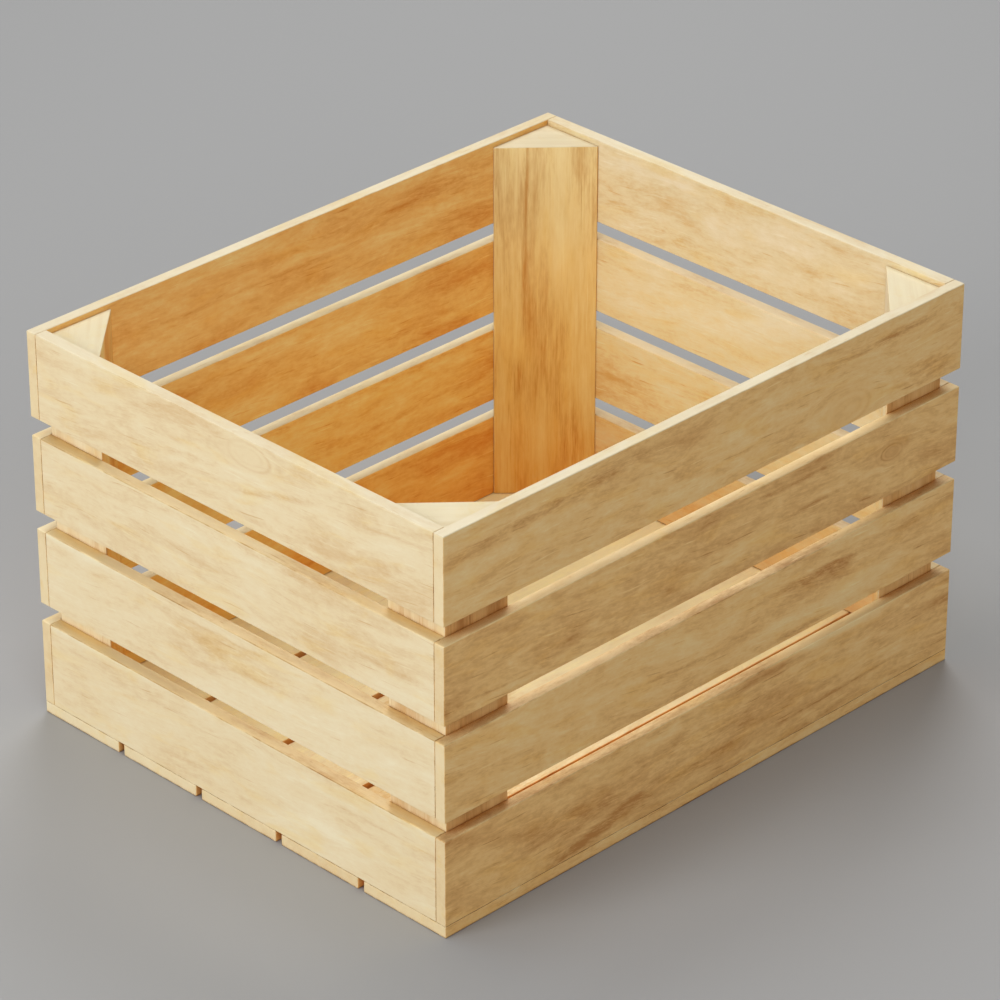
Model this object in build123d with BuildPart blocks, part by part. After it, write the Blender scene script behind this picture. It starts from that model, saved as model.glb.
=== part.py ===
"""Wooden fruit crate: slatted walls on triangular corner posts, over a base of lengthwise slats.

Millimetres, +Z up. The origin is the middle of the footprint, on the floor. X runs along the crate and Y
across it. The front is -Y, the rear is +Y, the left end is -X and the right end is +X.
"""

import os
from typing import NamedTuple

from build123d import *

# Footprint
crate_length = 500.0
crate_width = 400.0

# Base slats, lengthwise and side by side
slat_count = 5
slat_thickness = 9.0
slat_gap = 5.5

# Wall boards, in four rows with an air gap between one row and the next
side_thickness = 9.0
end_thickness = 10.0
bottom_board_height = 65.5
middle_board_height = 59.0
top_board_height = 65.5
board_gap = 14.0

# Corner posts: a right-angled triangle in plan, standing on the base slats
post_leg_along_side = 57.5
post_leg_along_end = 53.5
post_drop = 4.0  # from the rim down to the top of the post

# Every edge of a board or post is eased
edge_round = 0.8

# Panel pins, punched below the outer face and stopped with filler that counts as wood
pin_wire = 1.6
pin_length = 25.0
pin_point = 2.5
pin_head_diameter = 2.6
pin_head_thickness = 0.8
pin_set = 1.5  # from the outer face down to the head
pin_clearance = 0.05  # round a pin in its hole
pin_cover = 5.0  # wood left beyond the tip of a pin
pin_corner_inset = 12.0  # from the inner corner to the first pin of a board end
pin_edge_inset = 16.0  # from a board's long edge to its pins
slat_pin_inset = 22.0  # from a base slat's long edge to the pins at its ends
edge_pin_count = 3  # along an outer slat, up into a side board

# Inner faces of the walls, and what shares out the base
inner_x = crate_length / 2 - end_thickness
inner_y = crate_width / 2 - side_thickness
slat_pitch = crate_width / slat_count
edge_pin_pitch = crate_length / (edge_pin_count + 1)

# A pin's tip, counted from the outer face, and how far it goes into the wood behind a board
pin_tip = pin_set + pin_length
side_pin_reach = pin_tip - side_thickness
end_pin_reach = pin_tip - end_thickness

# The second pin of a board end stands as far from the corner as leaves it cover in the tapering post
side_far_inset = post_leg_along_side * (1 - (side_pin_reach + pin_cover) / post_leg_along_end)
end_far_inset = post_leg_along_end * (1 - (end_pin_reach + pin_cover) / post_leg_along_side)

side_names = {-1: "front", 1: "rear"}
end_names = {-1: "left", 1: "right"}


class Row(NamedTuple):
    """One row of wall boards, the same all round the crate, and the heights of its pins."""

    name: str
    bottom: float
    height: float
    low_pin: float
    high_pin: float


def stack_rows():
    """The rows from the base up. The lowest pins pass over the tips of the pins in the base."""
    rows = []
    bottom = slat_thickness
    for name, height in (
        ("bottom", bottom_board_height),
        ("lower", middle_board_height),
        ("upper", middle_board_height),
        ("top", top_board_height),
    ):
        low_pin = max(bottom + pin_edge_inset, pin_tip + pin_cover)
        rows.append(Row(name, bottom, height, low_pin, bottom + height - pin_edge_inset))
        bottom += height + board_gap
    return rows


def make_pin(clearance):
    """A pin with its head on the origin and its point up +Z, or, grown by a clearance, the hole for one."""
    wire = pin_wire / 2 + clearance
    head = pin_head_diameter / 2 + clearance
    with BuildPart() as shape:
        with BuildSketch(Plane.XZ):
            with BuildLine():
                Polyline(
                    (0, -clearance),
                    (head, -clearance),
                    (head, pin_head_thickness + clearance),
                    (wire, pin_head_thickness + clearance),
                    (wire, pin_length - pin_point),
                    (0, pin_length + clearance),
                    close=True,
                )
            make_face()
        revolve(axis=Axis.Z)
    return shape.part


def side_board_pins(side, row):
    """Two pins through each end of a side board, staggered so that they don't split the grain."""
    face = side * (crate_width / 2 - pin_set)
    spots = ((pin_corner_inset, row.high_pin), (side_far_inset, row.low_pin))
    return [
        Plane(origin=(end * (inner_x - inset), face, height), z_dir=(0, -side, 0))
        for end in end_names
        for inset, height in spots
    ]


def end_board_pins(end, row):
    """Two pins through each end of an end board, staggered the other way to miss the side boards' pins."""
    face = end * (crate_length / 2 - pin_set)
    spots = ((pin_corner_inset, row.low_pin), (end_far_inset, row.high_pin))
    return [
        Plane(origin=(face, side * (inner_y - inset), height), z_dir=(-end, 0, 0))
        for side in side_names
        for inset, height in spots
    ]


def slat_end_pins(end, slat_y, slat_width):
    """Two pins up through one end of a base slat, into the lower edge of an end board."""
    spread = slat_width / 2 - slat_pin_inset
    return [
        Plane(origin=(end * (crate_length - end_thickness) / 2, slat_y + offset, pin_set))
        for offset in (-spread, spread)
    ]


def slat_edge_pins(side):
    """Pins up through an outer base slat, into the lower edge of a side board."""
    middle = (edge_pin_count - 1) / 2
    return [
        Plane(origin=((i - middle) * edge_pin_pitch, side * (crate_width - side_thickness) / 2, pin_set))
        for i in range(edge_pin_count)
    ]


def in_corner(places, end, side):
    """Those of the places that lie in one corner of the crate."""
    return [place for place in places if place.origin.X * end > 0 and place.origin.Y * side > 0]


def write(builder, name):
    """Names a finished piece and writes it to its own file."""
    builder.part.label = name
    export_step(builder.part, f"parts/{name}.step")


def make_board(name, centre, size, bottom, height, pins):
    """A planed board with eased edges, bored for its pins."""
    with BuildPart() as board:
        with BuildSketch(Plane.XY.offset(bottom)):
            with Locations(centre):
                Rectangle(*size)
        extrude(amount=height)
        fillet(board.edges(), radius=edge_round)
        with Locations(*pins):
            add(pin_hole, mode=Mode.SUBTRACT)
    write(board, name)


def make_post(name, end, side, pins):
    """A triangular corner post with its right angle in the corner of the walls."""
    corner = (end * inner_x, side * inner_y)
    along_side = (end * (inner_x - post_leg_along_side), side * inner_y)
    along_end = (end * inner_x, side * (inner_y - post_leg_along_end))
    with BuildPart() as post:
        with BuildSketch(Plane.XY.offset(slat_thickness)):
            with BuildLine():
                Polyline(corner, along_side, along_end, close=True)
            make_face()
        extrude(amount=rim - post_drop - slat_thickness)
        fillet(post.edges(), radius=edge_round)
        with Locations(*pins):
            add(pin_hole, mode=Mode.SUBTRACT)
    write(post, name)


def make_pins(name, places):
    """The loose pins that hold one wall or the base."""
    with BuildPart() as pins:
        with Locations(*places):
            add(pin)
    write(pins, name)


os.makedirs("parts", exist_ok=True)
rows = stack_rows()
rim = rows[-1].bottom + rows[-1].height
pin = make_pin(0)
pin_hole = make_pin(pin_clearance)

# Base slats, numbered from the front, each in an even share of the width less its part of the gaps beside
# it. The outer two, with one gap each, are the widest, and also carry the side boards.
under_ends = {end: [] for end in end_names}
under_sides = {side: slat_edge_pins(side) for side in side_names}
outer_slats = {1: under_sides[-1], slat_count: under_sides[1]}
for number in range(1, slat_count + 1):
    front_gap = 0 if number == 1 else slat_gap / 2
    rear_gap = 0 if number == slat_count else slat_gap / 2
    slat_width = slat_pitch - front_gap - rear_gap
    slat_y = (number - (slat_count + 1) / 2) * slat_pitch + (front_gap - rear_gap) / 2
    slat_pins = list(outer_slats.get(number, []))
    for end in end_names:
        places = slat_end_pins(end, slat_y, slat_width)
        under_ends[end] += places
        slat_pins += places
    make_board(f"base_slat_{number}", (0, slat_y), (crate_length, slat_width), 0, slat_thickness, slat_pins)
make_pins("base_pins", under_ends[-1] + under_ends[1] + under_sides[-1] + under_sides[1])

# Side boards run the whole length, and show their end grain at the ends of the crate
wall_pins = []
for side, side_name in side_names.items():
    centre = (0, side * (crate_width - side_thickness) / 2)
    side_pins = []
    for row in rows:
        places = side_board_pins(side, row)
        side_pins += places
        if row.name == "bottom":
            places = places + under_sides[side]
        size = (crate_length, side_thickness)
        make_board(f"{side_name}_{row.name}_board", centre, size, row.bottom, row.height, places)
    make_pins(f"{side_name}_pins", side_pins)
    wall_pins += side_pins

# End boards stand between the side boards
for end, end_name in end_names.items():
    centre = (end * (crate_length - end_thickness) / 2, 0)
    end_pins = []
    for row in rows:
        places = end_board_pins(end, row)
        end_pins += places
        if row.name == "bottom":
            places = places + under_ends[end]
        size = (end_thickness, 2 * inner_y)
        make_board(f"{end_name}_{row.name}_board", centre, size, row.bottom, row.height, places)
    make_pins(f"{end_name}_pins", end_pins)
    wall_pins += end_pins

# Corner posts take the pins of both walls that meet there
for side, side_name in side_names.items():
    for end, end_name in end_names.items():
        make_post(f"{side_name}_{end_name}_post", end, side, in_corner(wall_pins, end, side))
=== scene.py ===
"""Looks of the wooden fruit crate: planed pale softwood, pale along the rim and amber inside, with painted
light and shade standing in for how the light falls on each face.

Every CAD node keeps its shape and gets a material. Metres, in the frame of the CAD nodes: the front is
-Y, the rear is +Y, the left end is -X and the right end is +X.
"""

import math
import random
from typing import NamedTuple

import bpy
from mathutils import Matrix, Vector


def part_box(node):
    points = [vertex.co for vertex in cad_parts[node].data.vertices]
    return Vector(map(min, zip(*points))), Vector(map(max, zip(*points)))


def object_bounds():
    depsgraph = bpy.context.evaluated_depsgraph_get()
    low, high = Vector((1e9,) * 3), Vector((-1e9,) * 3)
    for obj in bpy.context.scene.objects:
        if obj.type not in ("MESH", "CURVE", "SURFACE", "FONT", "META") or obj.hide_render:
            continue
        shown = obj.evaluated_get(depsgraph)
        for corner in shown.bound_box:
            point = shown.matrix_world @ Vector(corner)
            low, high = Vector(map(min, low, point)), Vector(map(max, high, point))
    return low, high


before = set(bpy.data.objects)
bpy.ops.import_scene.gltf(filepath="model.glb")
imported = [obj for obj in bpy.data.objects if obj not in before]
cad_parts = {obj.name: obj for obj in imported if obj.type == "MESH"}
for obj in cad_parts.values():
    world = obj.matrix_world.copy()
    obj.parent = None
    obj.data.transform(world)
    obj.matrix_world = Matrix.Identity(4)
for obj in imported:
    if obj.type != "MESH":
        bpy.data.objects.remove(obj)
cad_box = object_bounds()

# Heights, read from the frame
RIM = cad_box[1].z
BASE_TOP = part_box("base_slat_3")[1].z
MID_HEIGHT = 0.4 * RIM
MIDDLE = Vector((0.0, 0.0, RIM / 2))

# Camera, solved from the photograph: it looks at the middle of the crate
CAMERA_PLACE = Vector((-2.0524, -2.0520, 1.7599))
CAMERA_LENS = 172.4
CAMERA_SENSOR = 36.0
CAMERA_REACH = 100.0

# Studio: even light from all round, and large soft lamps given as azimuth, elevation and level
SKY_LEVEL = 0.02
LAMPS = {
    "viewer_lamp": (236.0, 30.0, 0.30),
    "front_lamp": (298.0, 10.0, 0.11),
    "left_lamp": (170.0, 17.0, 0.57),
    "back_right_lamp": (40.0, 45.0, 0.50),
    "back_left_lamp": (135.0, 68.0, 0.17),
    "top_lamp": (0.0, 90.0, 0.26),
}
LAMP_DISTANCE = 3.0
LAMP_SIZE = 1.6
FLOOR_SPAN = 60.0
FLOOR_GREY = 0.384
FLOOR_ROUGHNESS = 0.9
FLOOR_SHINE = 0.1

X = Vector((1.0, 0.0, 0.0))
Y = Vector((0.0, 1.0, 0.0))
Z = Vector((0.0, 0.0, 1.0))


def srgb(red, green, blue):
    """Linear colour, with alpha, from screen values of 0 to 255."""
    channels = []
    for value in (red, green, blue):
        share = value / 255
        channels.append(share / 12.92 if share <= 0.04045 else ((share + 0.055) / 1.055) ** 2.4)
    return (*channels, 1.0)


# Colours of the wood, each from its lightest to its darkest figure. They are lit and shaded copies of one
# wood: the sides that look front or back, the post legs and the upper edges of the lower front and left
# boards are darker and richer as painted shade, and the rear edges and the slat tops paler as painted light
END_TONES = (srgb(243, 229, 194), srgb(236, 215, 173), srgb(218, 183, 132))
SHADED_SIDE_TONES = (srgb(253, 224, 163), srgb(244, 198, 128), srgb(201, 141, 76))
REAR_SHADED_SIDE_TONES = (srgb(251, 220, 158), srgb(243, 199, 131), srgb(216, 162, 97))
RIM_TONES = (srgb(233, 221, 190), srgb(228, 212, 177), srgb(219, 193, 148))
POST_TOP_TONES = (srgb(236, 224, 189), srgb(229, 214, 176), srgb(218, 193, 147))
SHADED_POST_TOP_TONES = (srgb(227, 213, 179), srgb(220, 203, 165), srgb(208, 181, 137))
REAR_EDGE_TONES = (srgb(252, 238, 200), srgb(247, 229, 186), srgb(230, 200, 150))
RIGHT_EDGE_TONES = (srgb(245, 227, 186), srgb(238, 216, 172), srgb(221, 188, 138))
FRONT_EDGE_TONES = (srgb(250, 226, 174), srgb(240, 209, 152), srgb(188, 134, 76))
LEFT_EDGE_TONES = (srgb(242, 222, 174), srgb(231, 207, 157), srgb(202, 162, 110))
SLAT_TONES = (srgb(255, 246, 194), srgb(243, 231, 190), srgb(225, 196, 139))
SHADED_LEG_TONES = (srgb(238, 196, 132), srgb(218, 167, 102), srgb(178, 118, 60))

# Where the three colours stand between tone 0 and tone 1, and the tone of plain wood
TONE_PLACES = (0.0, 0.5, 1.0)
MIDDLE_TONE = 0.5

# Colours of the inner faces, at the rim, at the middle height and down at the base. They are lit and shaded
# copies of the wood: the amber of the front and rear walls and the post tones deepen towards the base as
# painted shade, and the honey of the end walls is a paler copy as painted light
AMBER_TONES = (
    (srgb(250, 223, 153), srgb(244, 192, 112), srgb(221, 148, 66)),
    (srgb(252, 224, 148), srgb(247, 197, 108), srgb(228, 149, 58)),
    (srgb(252, 212, 130), srgb(247, 183, 92), srgb(226, 136, 46)),
)
HONEY_TONES = (
    (srgb(237, 227, 200), srgb(226, 210, 169), srgb(211, 175, 115)),
    (srgb(254, 247, 212), srgb(251, 233, 178), srgb(236, 192, 118)),
    (srgb(254, 229, 184), srgb(251, 211, 150), srgb(236, 172, 98)),
)
POST_TONES = (
    (srgb(249, 233, 182), srgb(238, 215, 156), srgb(205, 158, 92)),
    (srgb(249, 219, 149), srgb(241, 198, 116), srgb(214, 148, 64)),
    (srgb(250, 206, 126), srgb(242, 181, 91), srgb(220, 134, 48)),
)

# Posts whose sloping face or top is coloured otherwise than their fellows', as painted light and shade: the
# rear left post's slope takes the amber of the shaded walls, and the rear right post's top a darker copy
POST_INNERS = {"rear_left_post": AMBER_TONES, "front_right_post": HONEY_TONES}
POST_TOPS = {"rear_right_post": SHADED_POST_TOP_TONES}

# Tints that stain or darken the wood: warmth, wear, end grain and the scored line belong to the wood,
# the seams are dark joint lines with painted crevice shade, and the nooks and gaps are painted shade
WARM_TINT = (1.0, 0.955, 0.82, 1.0)
WEAR_TINT = (0.88, 0.80, 0.68, 1.0)
END_GRAIN_TINT = (1.0, 0.985, 0.945, 1.0)
SCORE_TINT = (0.70, 0.58, 0.43, 1.0)
SEAM_SHADE_TINT = (0.32, 0.19, 0.08, 1.0)
POST_SEAM_SHADE_TINT = (0.90, 0.78, 0.62, 1.0)
EDGE_SEAM_SHADE_TINT = (0.66, 0.48, 0.30, 1.0)
FRONT_NOOK_SHADE_TINT = (0.55, 0.27, 0.04, 1.0)
LEFT_NOOK_SHADE_TINT = (0.97, 0.84, 0.62, 1.0)
GAP_SHADE_TINT = (0.96, 0.72, 0.48, 1.0)

# How far off another face still closes a place in, and how open it is where the darkening begins and is
# full: dark joint lines with painted crevice shade at the seams, painted shade in the nooks and gaps
SEAM_REACH = 0.0025
SEAM_SPAN = (0.88, 0.55)
NOOK_REACH = 0.016
NOOK_SPAN = (0.74, 0.30)
GAP_REACH = 0.012
GAP_SPAN = (0.52, 0.25)
OPENNESS_SAMPLES = 6  # rays that feel for other faces

# How squarely a face looks one way where its colour begins and is full
END_GRAIN_SPAN = (0.5, 0.9)
SIDEWAYS_SPAN = (0.5, 0.8)
INNER_SPAN = (0.85, 0.98)
EDGE_SPAN = (0.15, 0.55)
SLAT_TOP_SPAN = (0.80, 0.97)
SCORE_SPAN = (0.99, 0.90)
WEAR_SPAN = (0.97, 0.85)

# How strong the noise is where a patchy effect begins and is full
SEAM_PATCH_SPAN = (0.36, 0.58)
SEAM_LEAST = 0.40
SCORE_PATCH_SPAN = (0.38, 0.58)
WEAR_PATCH_SPAN = (0.50, 0.64)
WARM_PATCH_SPAN = (0.50, 0.72)

# How much deeper, per metre, the inner faces grow towards the far corner as painted shade, and where on a
# wall they are even
INNER_FADE = 1.2
INNER_FADE_MIDDLE = 0.07

# Roughness from the lightest wood to the darkest, shine, and the relief of the fibres
ROUGHNESS_TONES = (0.2, 0.8)
ROUGHNESS_RANGE = (0.52, 0.68)
WOOD_SHINE = 0.25
RELIEF_STRENGTH = 0.25
RELIEF_HEIGHT = 0.0003

# Steel of the pins: its scratches, how strong their noise is at the two greys, and the roughness there
SCRATCH_SCALES = (900.0, 900.0, 900.0)
SCRATCH_DETAIL = 3.0
SCRATCH_SPAN = (0.3, 0.7)
STEEL_GREYS = (srgb(150, 150, 152), srgb(196, 196, 198))
STEEL_ROUGHNESS = (0.25, 0.45)

# How much darker than its fellows a piece is: partly its own tone and partly painted light and shade;
# the rear base slats and the rear left post are made paler as painted light
SHADES = {
    "front_bottom_board": 0.11,
    "front_lower_board": -0.03,
    "front_upper_board": 0.10,
    "front_top_board": -0.07,
    "left_bottom_board": -0.06,
    "left_lower_board": -0.09,
    "rear_bottom_board": 0.10,
    "rear_lower_board": -0.06,
    "rear_upper_board": 0.03,
    "right_upper_board": -0.15,
    "front_left_post": 0.02,
    "front_right_post": -0.20,
    "rear_left_post": -0.12,
    "base_slat_2": 0.08,
    "base_slat_4": -0.19,
    "base_slat_5": -0.34,
}

# How much darker than the rest of it a board's upper edge is: partly its own tone and partly painted light
# and shade for edges in the gaps
EDGE_SHADES = {
    "front_lower_board": 0.14,
    "front_upper_board": -0.24,
    "left_bottom_board": 0.06,
    "left_upper_board": -0.12,
    "rear_lower_board": -0.12,
    "right_bottom_board": 0.15,
    "right_upper_board": 0.15,
}

# Boards whose grain leans otherwise than their fellows', in degrees
LEANS = {
    "front_upper_board": -4.5,
    "front_lower_board": -5.0,
    "left_top_board": -5.5,
    "left_upper_board": -1.5,
}


class Cut(NamedTuple):
    """How a piece is sawn: which way its grain runs, leans (in degrees) and bends, and how fine it is."""

    along: Vector
    across: Vector
    lean: float = 0.0
    bend: float = 0.014
    fineness: float = 1.0


SIDE_CUT = Cut(X, Z, lean=-2.0)
END_CUT = Cut(Y, Z, lean=-4.0)
SLAT_CUT = Cut(X, Y)
SLAT_COUNT = 5
POST_BEND = 0.003
POST_FINENESS = 2.5


class Layer(NamedTuple):
    """One size of noise in the grain: the length and width of its shapes, and how they are drawn.

    In finely grained wood every shape is longer, and the shapes of some layers are narrower too.
    """

    length: float
    width: float
    detail: float
    roughness: float
    distortion: float = 0.0
    narrows: bool = False


DRIFT = Layer(0.200, 0.050, 1.0, 0.5)
BANDS = Layer(0.110, 0.024, 2.0, 0.5, 0.4)
CLOUD = Layer(0.045, 0.013, 5.0, 0.65, 0.6)
MOTTLE = Layer(0.008, 0.005, 3.0, 0.6)
STREAKS = Layer(0.017, 0.0026, 3.0, 0.6, 0.3, narrows=True)
FIBRES = Layer(0.0038, 0.0012, 2.0, 0.6, narrows=True)
THREADS = Layer(0.035, 0.0017, 2.0, 0.5, 0.2, narrows=True)
FRAY = Layer(0.025, 0.005, 3.0, 0.6)
WARMTH = Layer(0.060, 0.016, 3.0, 0.6, 0.4)

# Slow wandering of the grain, in shapes per metre, and how far apart in the tree the pieces are cut
WANDER_SCALES = (9.0, 22.0, 22.0)
TREE_REACH = 50

# Rings on the upper ends of the posts
RING_SCALES = (14.0, 180.0, 0.0)
RING_DETAIL = 3.0
RING_ROUGHNESS = 0.6
RING_WEIGHT = 0.9


class Figure(NamedTuple):
    """How strongly the figure shows, from the broadest to the finest."""

    bands: float
    clouds: float
    lines: float


FIGURES = {
    "front": Figure(0.50, 0.95, 0.47),
    "rear": Figure(0.75, 1.08, 0.44),
    "left": Figure(0.75, 0.92, 0.45),
    "right": Figure(0.85, 1.10, 0.53),
    "base": Figure(0.60, 0.95, 0.50),
    "post": Figure(1.15, 1.20, 0.60),
}

# Layers of the figure, the part of it that each belongs to, and its weight there
FIGURE_LAYERS = (
    (DRIFT, "bands", 0.6),
    (BANDS, "bands", 1.3),
    (CLOUD, "clouds", 1.0),
    (MOTTLE, "clouds", 0.36),
    (STREAKS, "lines", 0.9),
    (FIBRES, "lines", 0.62),
)

# Thin threads that stand out dark or light, and how much calmer the figure is on end grain
DARK_THREAD_SPAN = (0.64, 0.80)
DARK_THREAD_WEIGHT = 0.95
LIGHT_THREAD_SPAN = (0.36, 0.20)
LIGHT_THREAD_WEIGHT = -0.80
END_GRAIN_CALM = 0.6


class Coat(NamedTuple):
    """The tones of a piece on its sides, its upper edges and its inner face.

    The rest is optional: which way the inner face looks, the tints of the seams (dark joint lines with
    painted crevice shade) and of the nooks (painted shade), whether a line is scored along the upper edges,
    whether the sides face a narrow gap, which paints shade on them, and how level the wood is where the
    edges' colour begins and is full.
    """

    side: tuple
    edge: tuple
    inner: tuple = None
    inward: Vector = None
    seam: tuple = SEAM_SHADE_TINT
    nook: tuple = None
    scored: bool = False
    gapped: bool = False
    crown: tuple = EDGE_SPAN


class Streak(NamedTuple):
    """A line in the grain between two places, given along and across. A negative depth is lighter."""

    start: tuple
    end: tuple
    half_width: float
    depth: float


class Patch(NamedTuple):
    """A soft blotch, with its reach along and across the piece."""

    centre: tuple
    reach: tuple
    depth: float


class Knot(NamedTuple):
    """Rings round a cut branch, with their reach along and across. They are darker at one end, 1 or -1."""

    centre: tuple
    reach: tuple
    depth: float
    dark_end: float


# Rings of a knot: radius as a share of its reach, half width and weight
KNOT_RINGS = (
    (0.62, 0.15, 0.45),
    (1.00, 0.17, 1.0),
    (1.50, 0.20, 0.25),
)

# How strong the rings are at the knot's paler end, and how far the wandering of the grain bends them
KNOT_PALE_END = 0.35
KNOT_WANDER = 0.010

# How far out, as a share of a knot's reach, the grain parts round it and the figure calms down
PARTING_SPAN = (2.4, 0.2)
PARTING_PULL = -0.65
CALM_SPAN = (0.6, 1.8)
CALM_LEAST = 0.4

# Where a patch begins and is full, as a share of its reach, and how much of a streak tapers at each end
PATCH_SPAN = (1.0, 0.25)
STREAK_TAPER = 0.4

# How strongly the grain frays the outlines of marks and breaks them up
FRAY_SHARE = 0.25
FIBRE_BREAKS = 0.9
STREAK_BREAKS = 1.6

# Marks of single pieces, placed along and across the piece. Most are grain; those marked below as painted
# light and shade stand in for how light falls on the edges of boards and the tops of slats
MARKS = {
    "front_top_board": (
        Streak((-0.300, 0.279), (-0.030, 0.289), 0.0085, 0.27),
        Streak((0.070, 0.2825), (0.280, 0.2900), 0.0056, 0.27),
        Knot((0.131, 0.247), (0.023, 0.012), 0.12, 1.0),
        Patch((0.131, 0.247), (0.025, 0.013), 0.07),
        Patch((0.134, 0.246), (0.009, 0.005), -0.10),
        Patch((0.215, 0.246), (0.040, 0.014), 0.15),
        Patch((-0.180, 0.250), (0.050, 0.014), 0.10),
    ),
    "front_upper_board": (
        Knot((0.180, 0.195), (0.011, 0.006), 0.23, -1.0),
        Patch((0.180, 0.195), (0.012, 0.007), 0.09),
        Streak((0.050, 0.186), (0.160, 0.188), 0.0028, 0.24),
        Streak((-0.255, 0.174), (-0.130, 0.166), 0.0018, 0.22),
        Streak((0.020, 0.212), (0.170, 0.208), 0.0030, 0.19),
        Patch((-0.050, 0.194), (0.022, 0.007), 0.14),
    ),
    "front_lower_board": (
        Streak((0.020, 0.132), (0.195, 0.127), 0.0060, 0.23),
        Patch((0.112, 0.123), (0.045, 0.012), 0.15),
        Streak((0.040, 0.093), (0.140, 0.092), 0.0034, 0.27),
        Streak((-0.075, 0.115), (0.010, 0.109), 0.0022, 0.22),
        Patch((0.160, 0.106), (0.045, 0.014), -0.14),
        Patch((-0.100, 0.119), (0.040, 0.014), -0.10),
        Patch((-0.168, 0.101), (0.026, 0.009), 0.15),
    ),
    "front_bottom_board": (
        Streak((-0.205, 0.000), (-0.015, 0.038), 0.0085, 0.30),
        Streak((0.030, 0.023), (0.230, 0.028), 0.0024, 0.22),
        Streak((-0.060, 0.026), (0.050, 0.032), 0.0022, 0.20),
        Patch((0.010, 0.045), (0.110, 0.024), 0.10),
        Patch((-0.140, 0.038), (0.070, 0.018), 0.10),
        # Painted light and shade along the upper edge
        Patch((0.125, 0.0745), (0.100, 0.007), -0.34),
        Patch((-0.060, 0.0745), (0.065, 0.007), 0.15),
    ),
    "left_top_board": (
        Knot((-0.021, 0.288), (0.020, 0.010), 0.22, -1.0),
        Streak((-0.105, 0.2855), (0.022, 0.2492), 0.0050, 0.22),
        Streak((0.095, 0.258), (-0.015, 0.273), 0.0044, 0.19),
        Streak((-0.190, 0.285), (-0.095, 0.276), 0.0032, 0.17),
    ),
    "left_upper_board": (
        Streak((0.150, 0.217), (-0.110, 0.217), 0.0056, 0.19),
        Patch((-0.108, 0.201), (0.018, 0.006), 0.15),
        Streak((-0.215, 0.184), (-0.090, 0.182), 0.0030, 0.19),
    ),
    "left_lower_board": (
        Patch((0.028, 0.127), (0.022, 0.010), 0.14),
        Streak((0.110, 0.137), (-0.130, 0.143), 0.0026, 0.14),
        Patch((-0.178, 0.104), (0.016, 0.010), 0.12),
        # Painted light along the upper edge towards the rear, painted shade towards the front
        Patch((0.150, 0.1475), (0.080, 0.007), -0.34),
        Patch((-0.140, 0.1475), (0.050, 0.007), 0.14),
    ),
    "left_bottom_board": (
        Patch((-0.066, 0.058), (0.014, 0.004), 0.16),
        Streak((-0.220, 0.059), (-0.060, 0.057), 0.0020, 0.14),
        # Painted light along the upper edge towards the rear, painted shade towards the front
        Patch((0.130, 0.0745), (0.080, 0.007), -0.34),
        Patch((-0.110, 0.0745), (0.080, 0.007), 0.16),
    ),
    "rear_top_board": (
        Streak((-0.230, 0.268), (0.090, 0.266), 0.0026, 0.17),
        Streak((0.040, 0.277), (0.240, 0.292), 0.0075, 0.17),
        Patch((0.160, 0.264), (0.090, 0.045), 0.09),
        Patch((-0.190, 0.264), (0.050, 0.045), 0.09),
        Patch((-0.075, 0.266), (0.050, 0.040), -0.12),
    ),
    "rear_upper_board": (
        Patch((-0.044, 0.200), (0.022, 0.006), 0.14),
        Patch((0.070, 0.182), (0.016, 0.008), 0.12),
    ),
    "rear_lower_board": (
        Streak((-0.020, 0.109), (0.200, 0.114), 0.0056, 0.18),
        # Painted shade along the upper edge
        Streak((-0.400, 0.146), (0.400, 0.146), 0.0080, 0.30),
    ),
    # Painted light along the lower edge of the rear bottom board
    "rear_bottom_board": (Streak((-0.400, 0.008), (0.400, 0.008), 0.0200, -0.28),),
    "right_top_board": (
        Streak((0.150, 0.257), (0.020, 0.245), 0.0075, 0.17),
        Streak((0.400, 0.243), (-0.400, 0.243), 0.0150, 0.11),
        Patch((-0.065, 0.266), (0.014, 0.010), 0.11),
    ),
    "right_upper_board": (Streak((0.145, 0.184), (0.050, 0.185), 0.0044, 0.17),),
    "base_slat_2": (
        # Painted shade on part of the slat's top, painted light on the rest
        Patch((-0.115, -0.080), (0.085, 0.120), 0.55),
        Patch((0.140, -0.080), (0.140, 0.120), -0.28),
    ),
    "base_slat_3": (
        # Painted shade on part of the slat's top, painted light on the rest
        Patch((-0.045, 0.000), (0.060, 0.120), 0.28),
        Patch((0.140, 0.000), (0.080, 0.120), -0.20),
    ),
    "rear_right_post": (
        Streak((0.400, -0.0020), (0.080, -0.0020), 0.0050, 0.05),
        Streak((0.400, 0.0112), (0.080, 0.0112), 0.0050, -0.14),
        Streak((0.400, 0.0208), (0.100, 0.0170), 0.0024, 0.28),
        Patch((0.240, 0.0260), (0.090, 0.010), -0.08),
        Patch((0.225, 0.0450), (0.090, 0.020), -0.22),
        Patch((0.105, 0.0125), (0.022, 0.009), 0.28),
        Patch((0.055, 0.0540), (0.046, 0.014), 0.30),
        Patch((0.055, 0.0270), (0.040, 0.018), -0.12),
    ),
}


# Sockets of a mix node that belong to its colours
MIX_SHARE = 0
MIX_FIRST = 6
MIX_SECOND = 7
MIX_RESULT = 2


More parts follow.
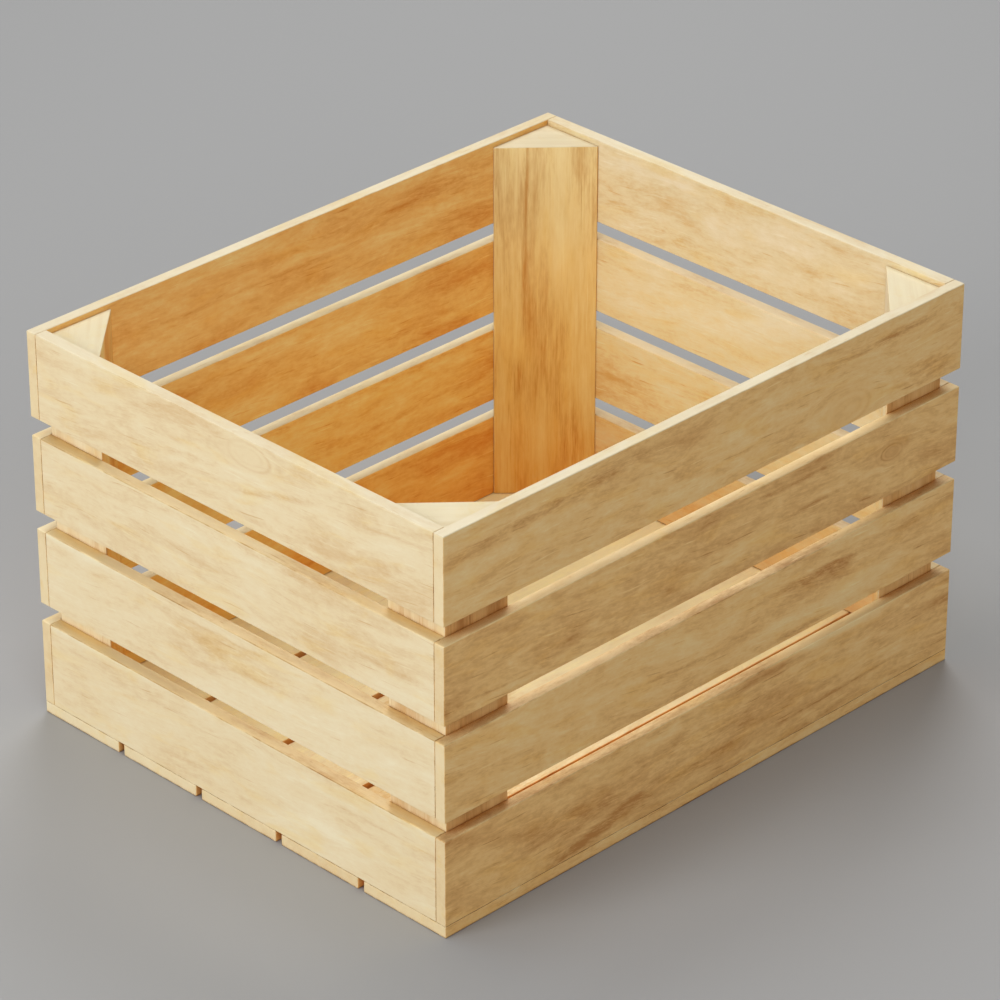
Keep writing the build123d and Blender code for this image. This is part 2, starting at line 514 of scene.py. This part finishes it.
class Nodes:
    """Short forms for building a node tree. A value may be a number, a colour or another node's output."""

    def __init__(self, tree):
        self.tree = tree

    def feed(self, socket, value):
        """Gives an input its value."""
        if isinstance(value, bpy.types.NodeSocket):
            self.tree.links.new(value, socket)
        else:
            socket.default_value = value

    def add(self, kind, **settings):
        """A new node with its settings."""
        node = self.tree.nodes.new(kind)
        for key, value in settings.items():
            setattr(node, key, value)
        return node

    def math(self, operation, first, second=0.0, third=0.0):
        """One step of arithmetic."""
        node = self.add("ShaderNodeMath", operation=operation)
        for socket, value in zip(node.inputs, (first, second, third)):
            self.feed(socket, value)
        return node.outputs[0]

    def plus(self, value, pattern, amount):
        """A value that a pattern of 0 to 1 shifts both ways."""
        return self.math("MULTIPLY_ADD", self.math("SUBTRACT", pattern, 0.5), amount, value)

    def vector(self, x, y, z):
        """A place made up of three values."""
        node = self.add("ShaderNodeCombineXYZ")
        for socket, value in zip(node.inputs, (x, y, z)):
            self.feed(socket, value)
        return node.outputs[0]

    def split(self, vector):
        """The three values of a place or direction."""
        node = self.add("ShaderNodeSeparateXYZ")
        self.feed(node.inputs[0], vector)
        return node.outputs

    def dot(self, vector, direction):
        """How far a place lies along a direction."""
        node = self.add("ShaderNodeVectorMath", operation="DOT_PRODUCT")
        self.feed(node.inputs[0], vector)
        self.feed(node.inputs[1], direction)
        return node.outputs["Value"]

    def stretch(self, vector, scales, offset):
        """A place scaled and shifted, to look a noise up at."""
        node = self.add("ShaderNodeVectorMath", operation="MULTIPLY_ADD")
        for socket, value in zip(node.inputs, (vector, scales, offset)):
            self.feed(socket, value)
        return node.outputs[0]

    def noise(self, vector, detail=2.0, roughness=0.5, distortion=0.0):
        """Noise between 0 and 1."""
        node = self.add("ShaderNodeTexNoise")
        self.feed(node.inputs["Vector"], vector)
        self.feed(node.inputs["Scale"], 1.0)
        self.feed(node.inputs["Detail"], detail)
        self.feed(node.inputs["Roughness"], roughness)
        self.feed(node.inputs["Distortion"], distortion)
        return node.outputs[0]

    def smooth(self, value, low, high, to_low=0.0, to_high=1.0):
        """A soft step from one level to another while a value goes from low to high."""
        node = self.add("ShaderNodeMapRange", interpolation_type="SMOOTHSTEP")
        for socket, given in zip(node.inputs, (value, low, high, to_low, to_high)):
            self.feed(socket, given)
        return node.outputs[0]

    def openness(self, reach):
        """How little of the space within reach other faces close in, from 0 to 1."""
        node = self.add("ShaderNodeAmbientOcclusion", samples=OPENNESS_SAMPLES)
        self.feed(node.inputs["Distance"], reach)
        return node.outputs["AO"]

    def ramp(self, value, stops):
        """The colour of a value, by colours at a few places."""
        node = self.add("ShaderNodeValToRGB")
        elements = node.color_ramp.elements
        while len(elements) < len(stops):
            elements.new(0.5)
        for element, (place, colour) in zip(elements, stops):
            element.position = place
            element.color = colour
        self.feed(node.inputs[0], value)
        return node.outputs[0]

    def tinted(self, tone, tones):
        """The colour of a tone of 0 to 1."""
        return self.ramp(tone, tuple(zip(TONE_PLACES, tones)))

    def mix(self, share, first, second, blend="MIX"):
        """A colour that gives way to another by a share of 0 to 1."""
        node = self.add("ShaderNodeMix", data_type="RGBA", blend_type=blend)
        self.feed(node.inputs[MIX_SHARE], share)
        self.feed(node.inputs[MIX_FIRST], first)
        self.feed(node.inputs[MIX_SECOND], second)
        return node.outputs[MIX_RESULT]

    def stain_and_shade(self, share, colour, tint):
        """A colour that a tint darkens by a share of 0 to 1, both for stains and for painted shade."""
        return self.mix(share, colour, tint, "MULTIPLY")


def new_material(name):
    """A material with its shader and the short forms for its node tree."""
    material = bpy.data.materials.new(name)
    material.use_nodes = True
    return material, material.node_tree.nodes["Principled BSDF"], Nodes(material.node_tree)


def reach_share(nodes, along, across, mark):
    """How far out a point lies from the middle of a patch or knot, as a share of its reach."""
    shares = []
    for value, middle, reach in zip((along, across), mark.centre, mark.reach):
        shares.append(nodes.math("MULTIPLY_ADD", value, 1 / reach, -middle / reach))
    square = nodes.math("MULTIPLY", shares[0], shares[0])
    return nodes.math("SQRT", nodes.math("MULTIPLY_ADD", shares[1], shares[1], square))


def flow_round(nodes, along, across, knots):
    """The place across the grain where the grain parts round the knots, and how calm the figure is there."""
    parted = across
    calm = None
    for knot in knots:
        far = reach_share(nodes, along, across, knot)
        pull = nodes.math("SUBTRACT", across, knot.centre[1])
        near = nodes.smooth(far, *PARTING_SPAN, 0.0, PARTING_PULL)
        parted = nodes.math("MULTIPLY_ADD", pull, near, parted)
        still = nodes.smooth(far, *CALM_SPAN, CALM_LEAST, 1.0)
        calm = nodes.math("MULTIPLY", calm, still) if calm else still
    return parted, calm


def patch_shade(nodes, along, across, patch):
    """How much darker a patch makes the wood."""
    return nodes.smooth(reach_share(nodes, along, across, patch), *PATCH_SPAN, 0.0, patch.depth)


def knot_shade(nodes, along, across, knot):
    """How much darker the rings of a knot make the wood."""
    far = reach_share(nodes, along, across, knot)
    rings = None
    for radius, width, weight in KNOT_RINGS:
        off = nodes.math("ABSOLUTE", nodes.math("SUBTRACT", far, radius))
        ring = nodes.smooth(off, width, 0.0, 0.0, weight * knot.depth)
        rings = nodes.math("ADD", rings, ring) if rings else ring
    middle = knot.centre[0]
    half = knot.dark_end * knot.reach[0]
    strength = nodes.smooth(along, middle - half, middle + half, KNOT_PALE_END, 1.0)
    return nodes.math("MULTIPLY", rings, strength)


def streak_shade(nodes, along, across, streak):
    """How much darker a streak makes the wood. It tapers off at both ends."""
    run = streak.end[0] - streak.start[0]
    share = nodes.math("MULTIPLY_ADD", along, 1 / run, -streak.start[0] / run)
    line = nodes.math("MULTIPLY_ADD", share, streak.end[1] - streak.start[1], streak.start[1])
    off = nodes.math("ABSOLUTE", nodes.math("SUBTRACT", across, line))
    body = nodes.smooth(off, streak.half_width, 0.0, 0.0, streak.depth)
    start = nodes.smooth(share, 0.0, STREAK_TAPER)
    end = nodes.smooth(share, 1.0, 1.0 - STREAK_TAPER)
    return nodes.math("MULTIPLY", body, nodes.math("MULTIPLY", start, end))


class Grain:
    """The grain of one piece, cut from its own place in the tree. Each layer of its noise is made once."""

    def __init__(self, nodes, name, seed, cut):
        draw = random.Random(seed)
        place = nodes.add("ShaderNodeTexCoord")
        self.nodes = nodes
        self.cut = cut
        self.offset = tuple(draw.uniform(-TREE_REACH, TREE_REACH) for _ in range(3))
        self.marks = MARKS.get(name, ())
        self.spot = place.outputs["Object"]
        self.normal = place.outputs["Normal"]
        self.facing = nodes.split(self.normal)
        endways = nodes.math("ABSOLUTE", nodes.dot(self.normal, cut.along))
        self.end_grain = nodes.smooth(endways, *END_GRAIN_SPAN)
        self.along = nodes.dot(self.spot, cut.along)
        self.across = nodes.dot(self.spot, cut.across)
        self.depth = nodes.dot(self.spot, cut.along.cross(cut.across))
        knots = [mark for mark in self.marks if isinstance(mark, Knot)]
        parted, self.calm = flow_round(nodes, self.along, self.across, knots)
        lean = math.tan(math.radians(LEANS.get(name, cut.lean)))
        leaning = nodes.math("MULTIPLY_ADD", self.along, -lean, parted)
        straight = nodes.vector(self.along, leaning, self.depth)
        self.wander = nodes.noise(nodes.stretch(straight, WANDER_SCALES, self.offset))
        self.flow = nodes.vector(self.along, nodes.plus(leaning, self.wander, cut.bend), self.depth)
        self.layers = {}

    def noise(self, layer):
        """One layer of noise along the grain."""
        if layer not in self.layers:
            narrowing = self.cut.fineness**0.5 if layer.narrows else 1.0
            lengthwise = 1 / (layer.length * self.cut.fineness)
            crosswise = narrowing / layer.width
            place = self.nodes.stretch(self.flow, (lengthwise, crosswise, crosswise), self.offset)
            self.layers[layer] = self.nodes.noise(place, layer.detail, layer.roughness, layer.distortion)
        return self.layers[layer]


def figure_tone(grain, name, figure):
    """How dark the wood is, from 0 to 1, by its figure and the shade of the piece."""
    nodes = grain.nodes
    pattern = 0.0
    for layer, part, weight in FIGURE_LAYERS:
        pattern = nodes.plus(pattern, grain.noise(layer), weight * getattr(figure, part))
    threads = grain.noise(THREADS)
    dark = nodes.smooth(threads, *DARK_THREAD_SPAN, 0.0, DARK_THREAD_WEIGHT * figure.lines)
    light = nodes.smooth(threads, *LIGHT_THREAD_SPAN, 0.0, LIGHT_THREAD_WEIGHT * figure.lines)
    pattern = nodes.math("ADD", nodes.math("ADD", pattern, dark), light)
    if grain.cut.along != Z:
        calmed = nodes.math("MULTIPLY_ADD", grain.end_grain, -END_GRAIN_CALM, 1.0)
        pattern = nodes.math("MULTIPLY", pattern, calmed)
    if grain.calm:
        pattern = nodes.math("MULTIPLY", pattern, grain.calm)
    return nodes.math("ADD", pattern, MIDDLE_TONE + SHADES.get(name, 0.0))


def marked_tone(grain, tone):
    """The tone with the piece's own marks. Streaks and patches are frayed and broken by the grain."""
    nodes = grain.nodes
    wavy = nodes.plus(grain.across, grain.wander, KNOT_WANDER)
    frayed = nodes.plus(grain.across, grain.noise(FRAY), FRAY_SHARE * grain.cut.bend)
    broken = nodes.plus(1.0, grain.noise(FIBRES), FIBRE_BREAKS)
    broken = nodes.plus(broken, grain.noise(STREAKS), STREAK_BREAKS)
    for mark in grain.marks:
        if isinstance(mark, Knot):
            tone = nodes.math("ADD", tone, knot_shade(nodes, grain.along, wavy, mark))
        elif isinstance(mark, Patch):
            shade = patch_shade(nodes, grain.along, frayed, mark)
            tone = nodes.math("MULTIPLY_ADD", shade, broken, tone)
        else:
            shade = streak_shade(nodes, grain.along, frayed, mark)
            tone = nodes.math("MULTIPLY_ADD", shade, broken, tone)
    return tone


def seam_shade_share(grain):
    """How dark a place is beside a joint or in a crease, patchily: a dark joint line with painted crevice
    shade.
    """
    nodes = grain.nodes
    closed = nodes.smooth(nodes.openness(SEAM_REACH), *SEAM_SPAN)
    patchy = nodes.smooth(grain.noise(CLOUD), *SEAM_PATCH_SPAN, SEAM_LEAST, 1.0)
    return nodes.math("MULTIPLY", closed, patchy)


def side_colour(grain, tone, coat, seam):
    """The outer faces. Those that look to the left or the right are paler; the darker, richer tones of those
    that look front or back are painted shade, and so is the darkening in narrow gaps.
    """
    nodes = grain.nodes
    sideways = nodes.smooth(nodes.math("ABSOLUTE", grain.facing[1]), *SIDEWAYS_SPAN)
    colour = nodes.mix(sideways, nodes.tinted(tone, END_TONES), nodes.tinted(tone, coat.side))
    colour = nodes.stain_and_shade(grain.end_grain, colour, END_GRAIN_TINT)
    if coat.gapped:
        closed = nodes.smooth(nodes.openness(GAP_REACH), *GAP_SPAN)
        colour = nodes.stain_and_shade(closed, colour, GAP_SHADE_TINT)
    return nodes.stain_and_shade(seam, colour, coat.seam)


def edge_colour(grain, name, tone, coat, seam):
    """The upper edges and the tops of slats and posts, their tones set by wall as painted light and shade. A
    post's top shows its rings. Painted shade darkens the nooks beside the posts.
    """
    nodes = grain.nodes
    if grain.cut.along == Z:
        place = nodes.stretch(nodes.vector(grain.across, grain.depth, 0.0), RING_SCALES, grain.offset)
        rings = nodes.noise(place, RING_DETAIL, RING_ROUGHNESS)
        edge_tone = nodes.plus(MIDDLE_TONE, rings, RING_WEIGHT)
    else:
        edge_tone = nodes.math("ADD", tone, EDGE_SHADES.get(name, 0.0))
    colour = nodes.tinted(edge_tone, coat.edge)
    if coat.nook:
        closed = nodes.smooth(nodes.openness(NOOK_REACH), *NOOK_SPAN)
        colour = nodes.stain_and_shade(closed, colour, coat.nook)
    colour = nodes.stain_and_shade(seam, colour, EDGE_SEAM_SHADE_TINT)
    if coat.scored:
        arris = nodes.smooth(grain.facing[2], *SCORE_SPAN)
        patchy = nodes.smooth(grain.noise(CLOUD), *SCORE_PATCH_SPAN)
        colour = nodes.stain_and_shade(nodes.math("MULTIPLY", arris, patchy), colour, SCORE_TINT)
    return colour


def inner_colour(grain, tone, coat):
    """The inner face, coloured from the rim down to the base as painted light and shade. On a board it also
    deepens towards the far corner as painted shade.
    """
    nodes = grain.nodes
    height = nodes.dot(grain.spot, Z)
    deeper = tone
    if grain.cut.along != Z:
        fade = nodes.math("MULTIPLY_ADD", grain.along, INNER_FADE, -INNER_FADE * INNER_FADE_MIDDLE)
        deeper = nodes.math("ADD", tone, fade)
    rim_tones, middle_tones, low_tones = coat.inner
    rim = nodes.tinted(tone, rim_tones)
    middle = nodes.tinted(deeper, middle_tones)
    low = nodes.tinted(deeper, low_tones)
    upper = nodes.mix(nodes.smooth(height, RIM, MID_HEIGHT), rim, middle)
    return nodes.mix(nodes.smooth(height, MID_HEIGHT, BASE_TOP), upper, low)


def worn_share(grain):
    """How worn a place is: only along the arrises, where the wood is square to no axis, and patchily."""
    nodes = grain.nodes
    squareness = nodes.math("ABSOLUTE", grain.facing[0])
    for side in (grain.facing[1], grain.facing[2]):
        squareness = nodes.math("MAXIMUM", squareness, nodes.math("ABSOLUTE", side))
    arris = nodes.smooth(squareness, *WEAR_SPAN)
    patchy = nodes.smooth(grain.noise(CLOUD), *WEAR_PATCH_SPAN)
    return nodes.math("MULTIPLY", arris, patchy)


def wood(name, seed, cut, coat, figure):
    """Pale softwood, coloured by which way each face of the piece looks, as painted light and shade."""
    material, shader, nodes = new_material(name)
    grain = Grain(nodes, name, seed, cut)
    tone = marked_tone(grain, figure_tone(grain, name, figure))
    seam = seam_shade_share(grain)
    colour = side_colour(grain, tone, coat, seam)
    upwards = nodes.smooth(grain.facing[2], *coat.crown)
    colour = nodes.mix(upwards, colour, edge_colour(grain, name, tone, coat, seam))
    if coat.inner:
        inwards = nodes.smooth(nodes.dot(grain.normal, coat.inward), *INNER_SPAN)
        colour = nodes.mix(inwards, colour, inner_colour(grain, tone, coat))
    if cut.along != Z:
        colour = nodes.stain_and_shade(worn_share(grain), colour, WEAR_TINT)
    warm = nodes.smooth(grain.noise(WARMTH), *WARM_PATCH_SPAN)
    nodes.feed(shader.inputs["Base Color"], nodes.stain_and_shade(warm, colour, WARM_TINT))

    nodes.feed(shader.inputs["Roughness"], nodes.smooth(tone, *ROUGHNESS_TONES, *ROUGHNESS_RANGE))
    bump = nodes.add("ShaderNodeBump")
    bump.inputs["Strength"].default_value = RELIEF_STRENGTH
    bump.inputs["Distance"].default_value = RELIEF_HEIGHT
    nodes.feed(bump.inputs["Height"], nodes.math("ADD", grain.noise(FIBRES), grain.noise(STREAKS)))
    nodes.feed(shader.inputs["Normal"], bump.outputs[0])
    shader.inputs["Specular IOR Level"].default_value = WOOD_SHINE
    return material


def steel(name):
    """Bright drawn wire, with fine scratches."""
    material, shader, nodes = new_material(name)
    place = nodes.add("ShaderNodeTexCoord").outputs["Object"]
    scratches = nodes.noise(nodes.stretch(place, SCRATCH_SCALES, (0.0, 0.0, 0.0)), SCRATCH_DETAIL)
    greys = tuple(zip(SCRATCH_SPAN, STEEL_GREYS))
    nodes.feed(shader.inputs["Base Color"], nodes.ramp(scratches, greys))
    nodes.feed(shader.inputs["Roughness"], nodes.smooth(scratches, *SCRATCH_SPAN, *STEEL_ROUGHNESS))
    shader.inputs["Metallic"].default_value = 1.0
    return material


def dress(node, material):
    """Gives a CAD node its material."""
    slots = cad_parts[node].data.materials
    slots.clear()
    slots.append(material)


def dress_crate():
    """A material of its own for each board, slat and post, and one for the pins."""
    seed = 1
    left_coat = Coat(SHADED_SIDE_TONES, LEFT_EDGE_TONES, HONEY_TONES, X, nook=LEFT_NOOK_SHADE_TINT, scored=True)
    walls = {
        "front": (SIDE_CUT, Coat(SHADED_SIDE_TONES, FRONT_EDGE_TONES, AMBER_TONES, Y, nook=FRONT_NOOK_SHADE_TINT)),
        "rear": (SIDE_CUT, Coat(REAR_SHADED_SIDE_TONES, REAR_EDGE_TONES, AMBER_TONES, -Y)),
        "left": (END_CUT, left_coat),
        "right": (END_CUT, Coat(SHADED_SIDE_TONES, RIGHT_EDGE_TONES, HONEY_TONES, -X)),
    }
    for row in ("bottom", "lower", "upper", "top"):
        for wall, (cut, coat) in walls.items():
            name = f"{wall}_{row}_board"
            if row == "top":
                coat = coat._replace(edge=RIM_TONES, nook=None, scored=False)
            dress(name, wood(name, seed, cut, coat, FIGURES[wall]))
            seed += 1
    slat_coat = Coat(SHADED_SIDE_TONES, SLAT_TONES, gapped=True, crown=SLAT_TOP_SPAN)
    for number in range(1, SLAT_COUNT + 1):
        name = f"base_slat_{number}"
        dress(name, wood(name, seed, SLAT_CUT, slat_coat, FIGURES["base"]))
        seed += 1
    for side, y in (("front", 1.0), ("rear", -1.0)):
        for end, x in (("left", 1.0), ("right", -1.0)):
            name = f"{side}_{end}_post"
            inward = Vector((x, y, 0.0)).normalized()
            cut = Cut(Z, Z.cross(inward), bend=POST_BEND, fineness=POST_FINENESS)
            top = POST_TOPS.get(name, POST_TOP_TONES)
            inner = POST_INNERS.get(name, POST_TONES)
            coat = Coat(SHADED_LEG_TONES, top, inner, inward, seam=POST_SEAM_SHADE_TINT)
            dress(name, wood(name, seed, cut, coat, FIGURES["post"]))
            seed += 1
    wire = steel("pin_steel")
    for wall in ("front", "rear", "left", "right", "base"):
        dress(f"{wall}_pins", wire)


def build_floor():
    """A plain pale floor that runs out of sight."""
    half = FLOOR_SPAN / 2
    corners = [(-half, -half, 0), (half, -half, 0), (half, half, 0), (-half, half, 0)]
    mesh = bpy.data.meshes.new("floor")
    mesh.from_pydata(corners, [], [(0, 1, 2, 3)])
    floor = bpy.data.objects.new("floor", mesh)
    bpy.context.scene.collection.objects.link(floor)
    material, shader, _ = new_material("floor")
    shader.inputs["Base Color"].default_value = (FLOOR_GREY, FLOOR_GREY, FLOOR_GREY, 1.0)
    shader.inputs["Roughness"].default_value = FLOOR_ROUGHNESS
    shader.inputs["Specular IOR Level"].default_value = FLOOR_SHINE
    mesh.materials.append(material)


def aim(obj, target):
    """Turns a lamp or camera to look at a point."""
    obj.rotation_mode = "QUATERNION"
    obj.rotation_quaternion = (target - obj.location).to_track_quat("-Z", "Y")


def build_sky():
    """Even light from all round."""
    world = bpy.data.worlds.new("studio")
    world.use_nodes = True
    background = world.node_tree.nodes["Background"]
    background.inputs["Color"].default_value = (1.0, 1.0, 1.0, 1.0)
    background.inputs["Strength"].default_value = SKY_LEVEL
    bpy.context.scene.world = world


def build_lamps():
    """A few large soft lamps. At level 1, a face square to a lamp shows its own colour."""
    for name, (azimuth, elevation, level) in LAMPS.items():
        turn = math.radians(azimuth)
        climb = math.radians(elevation)
        flat = math.cos(climb)
        away = Vector((math.cos(turn) * flat, math.sin(turn) * flat, math.sin(climb)))
        light = bpy.data.lights.new(name, "AREA")
        light.shape = "DISK"
        light.size = LAMP_SIZE
        light.energy = level * math.pi**2 * LAMP_DISTANCE**2
        lamp = bpy.data.objects.new(name, light)
        lamp.location = MIDDLE + LAMP_DISTANCE * away
        lamp.visible_camera = False
        aim(lamp, MIDDLE)
        bpy.context.scene.collection.objects.link(lamp)


def build_camera():
    """The photograph's viewpoint."""
    data = bpy.data.cameras.new("camera")
    data.lens = CAMERA_LENS
    data.sensor_width = CAMERA_SENSOR
    data.clip_end = CAMERA_REACH
    camera = bpy.data.objects.new("camera", data)
    camera.location = CAMERA_PLACE
    aim(camera, MIDDLE)
    bpy.context.scene.collection.objects.link(camera)
    bpy.context.scene.camera = camera


dress_crate()
build_floor()
build_sky()
build_lamps()
build_camera()
bpy.context.scene.view_settings.view_transform = "Standard"
